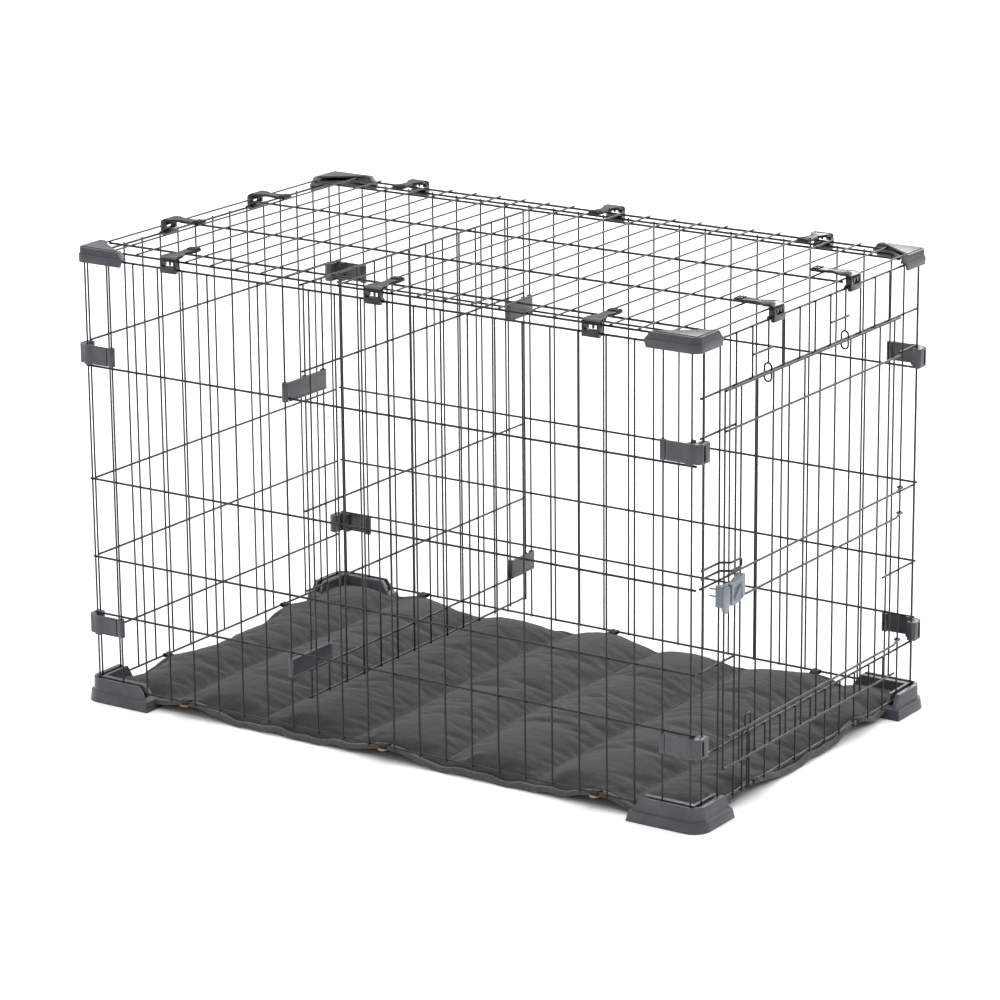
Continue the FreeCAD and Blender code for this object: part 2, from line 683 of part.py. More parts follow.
def tie(wall_plane, pad_edge):
    """Fabric loop from the edge of the pad round the bottom wire, at the middle of a -Y wall."""
    half = TIE_WIDTH / 2
    outside_y = CROSSING - wall_plane - THICK - TIE_THICKNESS - 0.2
    inside_y = -pad_edge - 0.2
    low = BOTTOM_WIRE_Z - TIE_HALF_HEIGHT
    high = BOTTOM_WIRE_Z + TIE_HALF_HEIGHT
    skin = TIE_THICKNESS
    outer = block(-half, half, outside_y, inside_y, low, high)
    inner = block(-half, half, outside_y + skin, inside_y - skin, low + skin, high - skin)
    return outer.cut(inner)


def mattress_ties():
    """The ties on all four sides of the pad."""
    ties = []
    for angle in (0, 90, 180, 270):
        lengthwise = angle in (0, 180)
        plane, edge = (HALF_DEPTH, PAD_HALF_Y) if lengthwise else (HALF_WIDTH, PAD_HALF_X)
        for place in TIE_X if lengthwise else TIE_Y:
            loop = tie(plane, edge)
            loop.rotate(Vector(0, 0, 0), Vector(0, 0, 1), angle)
            loop.translate(Vector(place, 0, 0) if lengthwise else Vector(0, place, 0))
            ties.append(loop)
    return ties


def tie_buttons():
    """Round snap button under each front tie."""
    y = CROSSING - HALF_DEPTH
    top = BOTTOM_WIRE_Z - TIE_HALF_HEIGHT
    return [rod((x, y, top), (x, y, top - BUTTON_THICKNESS), BUTTON_RADIUS) for x in TIE_X]


# ---- everything -------------------------------------------------------------------------
def save_walls():
    save("front_panel", long_wall(-1))
    save("back_panel", long_wall(1))
    save("left_panel", left_wall())
    save("right_panel", right_wall())
    save("header_eyes", [header_eye(short_y(index)) for index in EYE_UPRIGHTS])
    save("striker_loop", [striker_loop()])
    save("sill_hairpin", [sill_hairpin()])
    save("roof_panel", roof_panel())
    save("divider_panel", divider_panel())


def save_door():
    save("door_grid", door_grid())
    starts = (DOOR_FIRST_Y + 5.0, door_y(1) - 1.5, DOOR_FIRST_Y + 8.0)
    hinge_wires = [door_hinge_wire(z, start) for z, start in zip(HINGE_WIRE_Z, starts)]
    save("door_hinge_wires", hinge_wires)
    save("door_latch_housing", [latch_housing()])
    save("door_latch_slider", [latch_slider()])


def save_plastics():
    for place, shape in corners(foot()).items():
        save("foot_" + place, [shape])
    for place, shape in corners(cap()).items():
        save("cap_" + place, [shape])
    for level, z in zip(("lower", "upper"), CORNER_CLIP_Z):
        for place, shape in corners(corner_clip(z)).items():
            save("corner_clip_" + level + "_" + place, [shape])
    front_wires = (-HALF_DEPTH, divider_y(0), divider_y(1))
    back_wires = (HALF_DEPTH, divider_y(DIVIDER_UPRIGHTS - 1), divider_y(DIVIDER_UPRIGHTS - 2))
    for level, z in zip(("lower", "upper"), DIVIDER_CLIP_Z):
        save("divider_clip_" + level + "_front", [divider_clip(front_wires, z)])
        save("divider_clip_" + level + "_back", [divider_clip(back_wires, z)])
    for name, shape in roof_latches().items():
        save(name, [shape])


def main():
    os.makedirs("parts", exist_ok=True)
    save_walls()
    save_door()
    save_plastics()
    save("mattress", [mattress()])
    save("mattress_ties", mattress_ties())
    save("tie_buttons", tie_buttons())


main()
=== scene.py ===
"""Looks of the wire dog crate: coated wire, moulded plastic, quilted pad, light and camera.

Metres. +Z is up and the feet stand on Z = 0. The front wall faces -Y and the door +X.
"""

import json
import math
import random

import bmesh
import bpy
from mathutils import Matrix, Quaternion, Vector


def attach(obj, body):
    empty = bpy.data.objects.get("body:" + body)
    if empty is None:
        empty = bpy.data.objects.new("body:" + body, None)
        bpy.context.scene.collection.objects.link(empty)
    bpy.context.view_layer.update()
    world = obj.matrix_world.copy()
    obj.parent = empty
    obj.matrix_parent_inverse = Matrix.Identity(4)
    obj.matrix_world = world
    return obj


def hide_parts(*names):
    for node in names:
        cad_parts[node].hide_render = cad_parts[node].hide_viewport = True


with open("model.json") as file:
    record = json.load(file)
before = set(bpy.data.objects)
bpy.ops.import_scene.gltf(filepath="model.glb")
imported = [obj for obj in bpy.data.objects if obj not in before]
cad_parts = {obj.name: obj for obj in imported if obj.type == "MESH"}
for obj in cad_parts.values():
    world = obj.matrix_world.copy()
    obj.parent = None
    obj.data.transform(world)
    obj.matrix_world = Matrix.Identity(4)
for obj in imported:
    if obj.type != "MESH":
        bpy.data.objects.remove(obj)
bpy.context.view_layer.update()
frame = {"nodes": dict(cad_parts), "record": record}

# ---- the crate's own measures ---------------------------------------------------------
HALF_WIDTH = 0.467        # side walls: X of their upright wires
HALF_DEPTH = 0.281        # front and back walls: Y of their upright wires
LEVEL_WIRE_INSET = 0.00265    # level wires run this far inside the uprights
BOTTOM_WIRE_Z = 0.022
TIE_X = (-0.320, 0.0, 0.320)     # ties on the front and back walls
TIE_Y = (-0.13335, 0.13335)      # ties on the side walls
FOOT_SOLE_Z = 0.0140      # top of the feet's soles, which the pad's corners lie on
FOOT_ARMS = ((0.440, 0.20), (0.365, 0.252))    # X and Y where each arm of a sole starts

# ---- pad ------------------------------------------------------------------------------
PAD_HALF_X = 0.4555
PAD_HALF_Y = 0.2665
PAD_CORNER = 0.030        # radius of the plan's corners
PAD_CHANNELS = 7
PAD_CHANNEL_PITCH = 0.142
PAD_SEAM_SHIFT = 0.006    # the seams sit a little to the right of even spacing
PAD_CREST = 0.02666       # height of a channel's middle before it is blown up
PAD_SEAM_Z = 0.012        # height of the sewn seams
PAD_TOP_LIMIT = 0.0445    # nothing on the pad stands higher
PAD_UNDERSIDE_Z = 0.0008
PAD_CELL = 0.005          # mesh cell of the cloth
PAD_TAPER = 0.016         # distance over which the top rises from the rim
RIM_LOW_Z = 0.0065        # mean height of the rim between the ties
RIM_TIED_Z = 0.0195       # height of the rim at a tie
RIM_ON_FOOT_Z = 0.0170    # height of the rim over a foot
PULL_WIDTH = 0.045        # how far along the rim a tie pulls it up

# ---- the pad's cloth ------------------------------------------------------------------
CLOTH_FRAMES = 20
CLOTH_PRESSURE = 3.5
CLOTH_GROWTH = 0.018      # the cloth is this share larger than its flat shape
BLOW_LIMIT = 0.007        # no point moves further than this
PUCKER_DEPTH = 0.0005
PUCKER_REACH = 0.016      # puckers fade over this distance from a seam
CREASES = 46
CREASE_WIDTH = 0.006

# ---- sewing ---------------------------------------------------------------------------
THREAD_RADIUS = 0.0005
THREAD_LIFT = 0.0004
BINDING_STEP = 0.006
BINDING_PROFILE = (       # section of the tape round the rim, in (outward, up)
    (-0.0010, 0.0022), (0.0030, 0.0016), (0.0052, -0.0016), (0.0046, -0.0042),
    (0.0032, -0.0038), (0.0026, -0.0014), (-0.0010, -0.0012),
)

# ---- ties -----------------------------------------------------------------------------
TIE_WIDTH = 0.0115
TIE_SKIN = 0.0010
TIE_BEND = 0.0024         # radius of the tape's turn round the bottom wire
TIE_ROOT_X = 0.458        # where the side ties leave the pad
TIE_ROOT_Y = 0.268        # where the front and back ties leave the pad
TIE_SECTION = (           # across the tape: (share of half the width, thickness)
    (-1, 0.4), (-0.86, 1), (-0.4, 0.9), (0, 0.85), (0.4, 0.9), (0.86, 1), (1, 0.4),
)
BUTTON_RADIUS = 0.0064
BUTTON_HALF_HEIGHT = 0.0012
BUTTON_DROP = 0.0046      # middle of a button below the bottom wire
BUTTON_PROFILE = (        # from the top to the underside: (share of radius, of height)
    (0.15, 1.0), (0.55, 0.86), (0.85, 0.5), (1.0, 0.05), (0.94, -0.35), (0.6, -0.85),
    (0.15, -1.0),
)

# ---- camera and set -------------------------------------------------------------------
CAMERA_PLACE = (2.8744, -4.2823, 1.7794)
CAMERA_AZIMUTH = 33.90    # degrees, to the right of the front
CAMERA_ELEVATION = 16.21
CAMERA_ROLL = -0.52
CAMERA_LENS = 147.3       # millimetres, on a 36 mm sensor
FLOOR_HALF = 15
FLOOR_DROP = 0.0002       # keeps the floor's face clear of the feet's

BODY = "frame"


# ---- node helpers ---------------------------------------------------------------------
class Shader:
    """A material's node tree with short ways to add and link nodes."""

    def __init__(self, name):
        self.material = bpy.data.materials.new(name)
        self.material.use_nodes = True
        self.tree = self.material.node_tree
        self.surface = self.tree.nodes["Principled BSDF"]
        self.coords = self.add("ShaderNodeTexCoord")

    def add(self, kind, **settings):
        """New node; settings name its inputs or its own attributes."""
        node = self.tree.nodes.new(kind)
        for key, value in settings.items():
            label = key.replace("_", " ")
            if label in node.inputs:
                node.inputs[label].default_value = value
            else:
                setattr(node, key, value)
        return node

    def link(self, source, target):
        self.tree.links.new(source, target)

    def noise(self, scale, detail=3.0, roughness=0.5, stretch=None):
        """Noise over the object's own coordinates, stretched along its axes if asked."""
        node = self.add("ShaderNodeTexNoise", Scale=scale, Detail=detail, Roughness=roughness)
        source = self.coords.outputs["Object"]
        if stretch:
            mapping = self.add("ShaderNodeMapping", Scale=stretch)
            self.link(source, mapping.inputs["Vector"])
            source = mapping.outputs["Vector"]
        self.link(source, node.inputs["Vector"])
        return node.outputs["Fac"]

    def ramp(self, source, low, high, start=0.0, end=1.0):
        """Colour ramp between two colours."""
        node = self.add("ShaderNodeValToRGB")
        node.color_ramp.elements[0].position = start
        node.color_ramp.elements[0].color = (*low, 1)
        node.color_ramp.elements[1].position = end
        node.color_ramp.elements[1].color = (*high, 1)
        self.link(source, node.inputs["Fac"])
        return node.outputs["Color"]

    def spread(self, source, low, high, start=0.0, end=1.0):
        """Value mapped from start..end to low..high."""
        node = self.add("ShaderNodeMapRange")
        node.inputs["From Min"].default_value = start
        node.inputs["From Max"].default_value = end
        node.inputs["To Min"].default_value = low
        node.inputs["To Max"].default_value = high
        self.link(source, node.inputs["Value"])
        return node.outputs["Result"]

    def colour(self, output):
        self.link(output, self.surface.inputs["Base Color"])

    def roughness(self, output):
        self.link(output, self.surface.inputs["Roughness"])

    def bump(self, *layers):
        """Stacked bumps, each (height output, strength, distance)."""
        normal = None
        for height, strength, distance in layers:
            node = self.add("ShaderNodeBump", Strength=strength, Distance=distance)
            self.link(height, node.inputs["Height"])
            if normal:
                self.link(normal, node.inputs["Normal"])
            normal = node.outputs["Normal"]
        self.link(normal, self.surface.inputs["Normal"])

    def fixed(self, **values):
        for key, value in values.items():
            self.surface.inputs[key.replace("_", " ")].default_value = value

    def mix(self, factor, first, second, blend="MIX"):
        """Mix of two colours, each an output; the factor is an output or a number."""
        node = self.add("ShaderNodeMix", data_type="RGBA", blend_type=blend)
        if isinstance(factor, (int, float)):
            node.inputs[0].default_value = factor
        else:
            self.link(factor, node.inputs[0])
        self.link(first, node.inputs[6])
        self.link(second, node.inputs[7])
        return node.outputs[2]

    def edges(self, radius):
        """1 on sharp edges and 0 on flat faces."""
        soft = self.add("ShaderNodeBevel", samples=6, Radius=radius)
        flat = self.add("ShaderNodeNewGeometry")
        dot = self.add("ShaderNodeVectorMath", operation="DOT_PRODUCT")
        self.link(soft.outputs["Normal"], dot.inputs[0])
        self.link(flat.outputs["Normal"], dot.inputs[1])
        return self.spread(dot.outputs["Value"], 1.0, 0.0, 0.80, 0.99)


# ---- materials ------------------------------------------------------------------------
def coated_wire():
    """Dark brown-black powder coat with an orange peel that breaks up its highlights."""
    s = Shader("coated_wire")
    s.colour(s.ramp(s.noise(60, 4), (0.0045, 0.0035, 0.003), (0.010, 0.008, 0.007), 0.3, 0.7))
    s.roughness(s.spread(s.noise(240, 3), 0.24, 0.40))
    s.bump((s.noise(170, 3), 0.30, 0.0006), (s.noise(1400, 2), 0.12, 0.0002))
    s.fixed(Specular_IOR_Level=0.38)
    return s.material


def moulded(name, low, high, rough_low, rough_high, edge_highlight_gain=2.2, grain=0.25):
    """Moulded plastic: fine grain, faint flow marks, and a painted highlight that makes the edges
    paler.
    """
    s = Shader(name)
    base = s.ramp(s.noise(35, 5, 0.6), low, high, 0.3, 0.75)
    # Painted highlight: a paler copy of the colour on the sharp edges, in place of the light they
    # catch.
    painted_highlight = s.ramp(s.noise(220, 3), [v * edge_highlight_gain for v in low], [v * edge_highlight_gain for v in high])
    s.colour(s.mix(s.edges(0.0014), base, painted_highlight))
    s.roughness(s.spread(s.noise(90, 4), rough_low, rough_high))
    s.bump((s.noise(2600, 2), grain, 0.00012), (s.noise(25, 2), 0.05, 0.001))
    return s.material


def weave(s, pitch):
    """Height of a plain weave in the object's X and Y directions."""
    bands = []
    for axis in ("X", "Y"):
        band = s.add("ShaderNodeTexWave", Scale=1.0 / pitch / math.pi, Distortion=0.4, Detail=1.0)
        band.wave_type = "BANDS"
        band.bands_direction = axis
        s.link(s.coords.outputs["Object"], band.inputs["Vector"])
        bands.append(band.outputs["Fac"])
    total = s.add("ShaderNodeMath", operation="ADD")
    s.link(bands[0], total.inputs[0])
    s.link(bands[1], total.inputs[1])
    return total.outputs[0]


def pad_cloth():
    """Charcoal brushed polyester: soft nap, slow shade changes, fine weave."""
    s = Shader("pad_cloth")
    slow = s.ramp(s.noise(9, 5, 0.6), (0.021, 0.021, 0.0215), (0.034, 0.034, 0.0345), 0.3, 0.7)
    fleck = s.ramp(s.noise(700, 3), (0.70, 0.70, 0.70), (1.20, 1.20, 1.20), 0.35, 0.65)
    s.colour(s.mix(1.0, slow, fleck, "MULTIPLY"))
    s.roughness(s.spread(s.noise(120, 3), 0.70, 0.90))
    s.bump(
        (weave(s, 0.0010), 0.25, 0.0003),
        (s.noise(350, 4, 0.6), 0.30, 0.0007),
        (s.noise(40, 4, 0.65, (1.0, 2.4, 1.0)), 0.35, 0.0040),
    )
    s.fixed(Sheen_Weight=0.12, Sheen_Roughness=0.45, Specular_IOR_Level=0.25)
    return s.material


def binding_cloth():
    """Grey-brown bias tape round the pad."""
    s = Shader("binding_cloth")
    s.colour(s.ramp(s.noise(300, 3), (0.050, 0.046, 0.043), (0.090, 0.083, 0.078), 0.3, 0.7))
    s.roughness(s.spread(s.noise(200, 2), 0.75, 0.92))
    s.bump((weave(s, 0.0007), 0.35, 0.0002), (s.noise(90, 3), 0.3, 0.0015))
    s.fixed(Sheen_Weight=0.15, Specular_IOR_Level=0.25)
    return s.material


def strap_cloth():
    """Dark woven tape of the ties."""
    s = Shader("strap_cloth")
    s.colour(s.ramp(s.noise(400, 3), (0.012, 0.013, 0.016), (0.030, 0.031, 0.036), 0.3, 0.7))
    s.roughness(s.spread(s.noise(200, 2), 0.6, 0.8))
    s.bump((weave(s, 0.0008), 0.4, 0.0002))
    s.fixed(Specular_IOR_Level=0.3)
    return s.material


def thread():
    """Charcoal sewing thread, a shade lighter than the cloth."""
    s = Shader("thread")
    s.colour(s.ramp(s.noise(800, 2), (0.030, 0.030, 0.031), (0.080, 0.080, 0.083), 0.3, 0.7))
    s.roughness(s.spread(s.noise(600, 2), 0.5, 0.7))
    s.bump((s.noise(3000, 2), 0.3, 0.0001))
    return s.material


def snap_plastic():
    """Beige-brown snap button."""
    s = Shader("snap_plastic")
    s.colour(s.ramp(s.noise(120, 4), (0.17, 0.11, 0.075), (0.36, 0.27, 0.20), 0.35, 0.65))
    s.roughness(s.spread(s.noise(150, 2), 0.3, 0.5))
    s.bump((s.noise(900, 2), 0.1, 0.0001))
    return s.material


def studio_floor():
    """Near-white floor."""
    s = Shader("studio_floor")
    s.colour(s.ramp(s.noise(2, 2), (0.93, 0.93, 0.93), (0.95, 0.95, 0.95)))
    s.roughness(s.spread(s.noise(4, 2), 0.85, 0.95))
    s.fixed(Specular_IOR_Level=0.1)
    return s.material


WIRE = coated_wire()
# Each edge highlight gain sets how much paler the plastic's painted edge highlight is.
SLATE = moulded("slate_plastic", (0.036, 0.038, 0.043), (0.060, 0.063, 0.070), 0.28, 0.42)
BLACK = moulded(
    "black_plastic", (0.003, 0.003, 0.0035), (0.007, 0.007, 0.008), 0.16, 0.26,
    edge_highlight_gain=3.0, grain=0.1,
)
GREY = moulded(
    "grey_plastic", (0.13, 0.15, 0.175), (0.20, 0.225, 0.255), 0.26, 0.40,
    edge_highlight_gain=1.7, grain=0.15,
)
CLOTH = pad_cloth()
BINDING = binding_cloth()
STRAP = strap_cloth()
THREAD = thread()
SNAP = snap_plastic()


# ---- mesh helpers ---------------------------------------------------------------------
def add_mesh(name, mesh, material, body=BODY, replaces=()):
    """Put a mesh in the scene as a piece that rides on a body."""
    piece = bpy.data.objects.new(name, mesh)
    bpy.context.collection.objects.link(piece)
    mesh.materials.clear()
    mesh.materials.append(material)
    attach(piece, body)
    if replaces:
        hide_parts(*replaces)
    return piece


def mesh_of(bm, name):
    """Finish a bmesh as a smooth-shaded mesh."""
    bmesh.ops.recalc_face_normals(bm, faces=bm.faces)
    mesh = bpy.data.meshes.new(name)
    bm.to_mesh(mesh)
    bm.free()
    mesh.polygons.foreach_set("use_smooth", [True] * len(mesh.polygons))
    return mesh


def apply_modifiers(piece):
    """Replace the piece's mesh by what its modifiers make of it."""
    graph = bpy.context.evaluated_depsgraph_get()
    made = bpy.data.meshes.new_from_object(piece.evaluated_get(graph))
    piece.modifiers.clear()
    piece.data = made


def loft(bm, rings, closed_run=False):
    """Faces between closed rings of vertices; a closed run joins the last to the first."""
    pairs = list(zip(rings, rings[1:]))
    if closed_run:
        pairs.append((rings[-1], rings[0]))
    for ring, following in pairs:
        for k in range(len(ring)):
            other = (k + 1) % len(ring)
            bm.faces.new((ring[k], ring[other], following[other], following[k]))


def body_of(node):
    """Name of the body that a CAD node belongs to."""
    for name, nodes in frame["record"]["behaviour"]["bodies"].items():
        if node in nodes:
            return name
    raise KeyError(node)


def soft_edged(node, material, width, segments=2):
    """Copy of a CAD node with rounded edges, standing for the node."""
    bm = bmesh.new()
    bm.from_mesh(frame["nodes"][node].data)
    bmesh.ops.remove_doubles(bm, verts=bm.verts, dist=1e-6)
    bmesh.ops.dissolve_limit(
        bm, angle_limit=math.radians(1.0), verts=bm.verts, edges=bm.edges
    )
    mesh = mesh_of(bm, node + "_moulded")
    piece = add_mesh(node + "_moulded", mesh, material, body_of(node), (node,))
    bevel = piece.modifiers.new("edges", "BEVEL")
    bevel.width = width
    bevel.segments = segments
    bevel.limit_method = "ANGLE"
    bevel.angle_limit = math.radians(32)
    bevel.harden_normals = True
    apply_modifiers(piece)
    return piece


# ---- wires ----------------------------------------------------------------------------
def paint_wires():
    """Give every wire node its coat."""
    for node in frame["nodes"]:
        if node.endswith(("_panel", "_eyes", "_loop", "_hairpin", "_grid", "_wires")):
            piece = frame["nodes"][node]
            piece.data.materials.clear()
            piece.data.materials.append(WIRE)


# ---- plastics -------------------------------------------------------------------------
def plastics():
    """Feet, caps, clips and latches with moulded edges."""
    for node in list(frame["nodes"]):
        if node.startswith("foot_"):
            soft_edged(node, SLATE, 0.0012, 3)
        elif node.startswith("cap_"):
            soft_edged(node, SLATE, 0.0009, 3)
        elif node.startswith(("corner_clip_", "divider_clip_")):
            soft_edged(node, SLATE, 0.0005)
        elif node.startswith("roof_latch_"):
            soft_edged(node, BLACK, 0.0006)
        elif node.startswith("door_latch_"):
            soft_edged(node, GREY, 0.0006, 3)


# ---- pad ------------------------------------------------------------------------------
def pad_edge_z(x, y):
    """Height of the pad's rim: up at the ties and on the feet, lower between them."""
    if abs(y) / PAD_HALF_Y > abs(x) / PAD_HALF_X:
        places, along = TIE_X, x
        corner = PAD_HALF_X - 0.075
    else:
        places, along = TIE_Y, y
        corner = PAD_HALF_Y - 0.060
    near = min(abs(along - place) for place in places)
    pull = math.exp(-(near / PULL_WIDTH) ** 2)
    on_foot = 1 / (1 + math.exp(-(abs(along) - corner) / 0.010))
    low = RIM_LOW_Z + 0.0015 * math.sin(along * 61.0) + 0.001 * math.sin(along * 133.0)
    return max(low + (RIM_TIED_Z - low) * pull, low + (RIM_ON_FOOT_Z - low) * on_foot)


def pad_plan(u, v):
    """Point of the pad's plan for u, v in -1..1: a rectangle with round corners."""
    x, y = u * PAD_HALF_X, v * PAD_HALF_Y
    inner_x, inner_y = PAD_HALF_X - PAD_CORNER, PAD_HALF_Y - PAD_CORNER
    over_x, over_y = abs(x) - inner_x, abs(y) - inner_y
    if over_x > 0 and over_y > 0:
        reach = max(over_x, over_y)
        length = math.hypot(over_x, over_y)
        x = math.copysign(inner_x + over_x * reach / length, x)
        y = math.copysign(inner_y + over_y * reach / length, y)
    return x, y


def seam_middle(index):
    """Mean X of one sewn seam."""
    return (index - (PAD_CHANNELS - 2) / 2) * PAD_CHANNEL_PITCH + PAD_SEAM_SHIFT


def seam_x(index, y):
    """X of one sewn seam, a little wavy."""
    return seam_middle(index) + 0.0035 * math.sin(y * 14.0 + index * 1.7)


def channel_rise(x, y):
    """0 on a seam, 1 in the middle of a channel."""
    walls = [-PAD_HALF_X] + [seam_x(i, y) for i in range(PAD_CHANNELS - 1)] + [PAD_HALF_X]
    for low, high in zip(walls, walls[1:]):
        if x <= high:
            share = max(0.0, min(1.0, (x - low) / (high - low)))
            return math.sin(math.pi * share) ** 0.6
    return 0.0


def pad_top_z(x, y):
    """Height of the pad's upper cloth before it is inflated."""
    edge = PAD_HALF_Y - abs(y)
    side = PAD_HALF_X - abs(x)
    taper = 1 - math.exp(-max(0.0, edge) / PAD_TAPER)
    side_taper = 1 - math.exp(-max(0.0, side) / PAD_TAPER)
    rim = pad_edge_z(x, y)
    base = rim + (PAD_SEAM_Z - rim) * taper * side_taper
    return base + (PAD_CREST - PAD_SEAM_Z) * channel_rise(x, y) * taper


def pad_underside_z(x, y):
    """Height of the pad's lower cloth: on the floor or a foot's sole, lifted near the rim."""
    near_rim = min(PAD_HALF_X - abs(x), PAD_HALF_Y - abs(y))
    lift = pad_edge_z(x, y) * math.exp(-near_rim / 0.012)
    on_foot = any(abs(x) > arm_x and abs(y) > arm_y for arm_x, arm_y in FOOT_ARMS)
    floor = FOOT_SOLE_Z if on_foot else PAD_UNDERSIDE_Z
    return max(floor, lift * 0.8)


def pad_grid():
    """Upper and lower cloth joined at the rim.

    Gives the mesh, the held points (rim, seams, underside) and the points of each seam.
    """
    bm = bmesh.new()
    columns = round(2 * PAD_HALF_X / PAD_CELL)
    rows = round(2 * PAD_HALF_Y / PAD_CELL)
    seam_columns = {
        round((seam_middle(i) + PAD_HALF_X) / PAD_CELL): i for i in range(PAD_CHANNELS - 1)
    }
    top, bottom, held = {}, {}, []
    seams = [[] for _ in range(PAD_CHANNELS - 1)]
    for i in range(columns + 1):
        for j in range(rows + 1):
            x, y = pad_plan(2 * i / columns - 1, 2 * j / rows - 1)
            seam = seam_columns.get(i)
            if seam is not None:
                x = seam_x(seam, y)
            rim = i in (0, columns) or j in (0, rows)
            z = pad_edge_z(x, y) if rim else pad_top_z(x, y)
            top[i, j] = bm.verts.new((x, y, z))
            if seam is not None:
                seams[seam].append(top[i, j])
            if rim:
                bottom[i, j] = top[i, j]
                held.append(top[i, j])
                continue
            bottom[i, j] = bm.verts.new((x, y, pad_underside_z(x, y)))
            held.append(bottom[i, j])
            if seam is not None:
                held.append(top[i, j])
    for grid, flip in ((top, False), (bottom, True)):
        for i in range(columns):
            for j in range(rows):
                ring = [grid[i, j], grid[i + 1, j], grid[i + 1, j + 1], grid[i, j + 1]]
                bm.faces.new(ring[::-1] if flip else ring)
    bm.verts.index_update()
    held = [vert.index for vert in held]
    seams = [[vert.index for vert in line] for line in seams]
    return bm, held, seams


def inflate(piece, held):
    """Blow the cloth up between its seams; the held points stay where they are."""
    group = piece.vertex_groups.new(name="held")
    group.add(held, 1.0, "ADD")
    start = [vert.co.copy() for vert in piece.data.vertices]
    cloth = piece.modifiers.new("cloth", "CLOTH")
    settings = cloth.settings
    settings.quality = 6
    settings.mass = 0.15
    settings.tension_stiffness = 18
    settings.compression_stiffness = 18
    settings.shear_stiffness = 6
    settings.bending_stiffness = 0.6
    settings.use_pressure = True
    settings.uniform_pressure_force = CLOTH_PRESSURE
    settings.shrink_min = -CLOTH_GROWTH
    settings.vertex_group_mass = "held"
    settings.effector_weights.gravity = 0
    cloth.collision_settings.use_collision = False
    for number in range(1, CLOTH_FRAMES + 1):
        bpy.context.scene.frame_set(number)
    apply_modifiers(piece)
    for vert, before in zip(piece.data.vertices, start):
        move = vert.co - before
        if move.length > BLOW_LIMIT:
            vert.co = before + move * (BLOW_LIMIT / move.length)
    bpy.context.scene.frame_set(1)


def gather(piece, held):
    """Small puckers that run out from the seams, and scattered long soft creases."""
    dice = random.Random(7)
    phases = [[dice.uniform(0, math.tau) for _ in range(3)] for _ in range(PAD_CHANNELS - 1)]
    creases = []
    for _ in range(CREASES):
        x = dice.uniform(-PAD_HALF_X, PAD_HALF_X)
        y = dice.uniform(-PAD_HALF_Y, PAD_HALF_Y)
        creases.append((x, y, dice.uniform(-0.5, 0.5), dice.uniform(0.03, 0.07),
                        dice.uniform(-0.0016, 0.0012)))
    fixed = set(held)
    for vert in piece.data.vertices:
        if vert.index in fixed:
            continue
        x, y, z = vert.co
        lift = 0.0
        for index, phase in enumerate(phases):
            away = abs(x - seam_x(index, y))
            if away > 0.06:
                continue
            waves = math.sin(y * 330 + phase[0] + 9 * math.sin(y * 21 + phase[1]))
            waves += 0.6 * math.sin(y * 540 + phase[2])
            lift += PUCKER_DEPTH * waves * math.exp(-away / PUCKER_REACH)
        for cx, cy, slope, length, depth in creases:
            along, across = x - cx, (y - cy) - slope * (x - cx)
            if abs(along) < length and abs(across) < 0.02:
                fade = math.exp(-(across / CREASE_WIDTH) ** 2)
                lift += depth * math.cos(along / length * math.pi / 2) * fade
        vert.co.z = min(z + lift, PAD_TOP_LIMIT)


def subdivide(piece):
    """One smooth subdivision, applied."""
    smooth = piece.modifiers.new("smooth", "SUBSURF")
    smooth.levels = 1
    smooth.render_levels = 1
    apply_modifiers(piece)


def make_pad():
    """Quilted pad between the feet, with the stitches of its seams."""
    bm, held, seams = pad_grid()
    mesh = mesh_of(bm, "quilted_pad")
    piece = add_mesh("quilted_pad", mesh, CLOTH, BODY, ("mattress",))
    inflate(piece, held)
    gather(piece, held)
    subdivide(piece)
    lines = [[piece.data.vertices[index].co.copy() for index in line] for line in seams]
    make_stitches(lines)


def make_stitches(lines):
    """Short threads that lie along each seam."""
    bm = bmesh.new()
    for line in lines:
        for start, end in zip(line[1:-2], line[2:-1]):
            along = (end - start).normalized()
            side = along.cross(Vector((0, 0, 1))).normalized()
            up = side.cross(along)
            rings = []
            for share, girth in ((0.16, 0.3), (0.3, 1.0), (0.7, 1.0), (0.84, 0.3)):
                spot = start.lerp(end, share) + up * THREAD_LIFT * girth
                ring = []
                for k in range(6):
                    turn = math.tau * k / 6
                    offset = side * math.cos(turn) + up * math.sin(turn)
                    ring.append(bm.verts.new(spot + offset * THREAD_RADIUS * girth))
                rings.append(ring)
            loft(bm, rings)
            bm.faces.new(rings[0][::-1])
            bm.faces.new(rings[-1])
    add_mesh("seam_stitches", mesh_of(bm, "seam_stitches"), THREAD, BODY)


def rim_points(step):
    """Points along the pad's rim, all the way round."""
    count_x = round(2 * PAD_HALF_X / step)
    count_y = round(2 * PAD_HALF_Y / step)
    plan = [(2 * i / count_x - 1, -1.0) for i in range(count_x)]
    plan += [(1.0, 2 * j / count_y - 1) for j in range(count_y)]
    plan += [(1 - 2 * i / count_x, 1.0) for i in range(count_x)]
    plan += [(-1.0, 1 - 2 * j / count_y) for j in range(count_y)]
    points = []
    for u, v in plan:
        x, y = pad_plan(u, v)
        points.append(Vector((x, y, pad_edge_z(x, y))))
    return points


def make_binding():
    """Flat tape sewn round the rim, hanging a little outward."""
    points = rim_points(BINDING_STEP)
    bm = bmesh.new()
    rings = []
    for index, point in enumerate(points):
        before = points[index - 1]
        after = points[(index + 1) % len(points)]
        along = (after - before).normalized()
        outward = along.cross(Vector((0, 0, 1))).normalized()
        flutter = 0.0006 * math.sin(index * 0.9) + 0.0005 * math.sin(index * 0.37)
        ring = []
        for out, up in BINDING_PROFILE:
            spot = point + outward * (out + flutter) + Vector((0, 0, up))
            spot.z = max(spot.z, 0.0006)
            ring.append(bm.verts.new(spot))
        rings.append(ring)
    loft(bm, rings, closed_run=True)
    add_mesh("pad_binding", mesh_of(bm, "pad_binding"), BINDING, BODY)


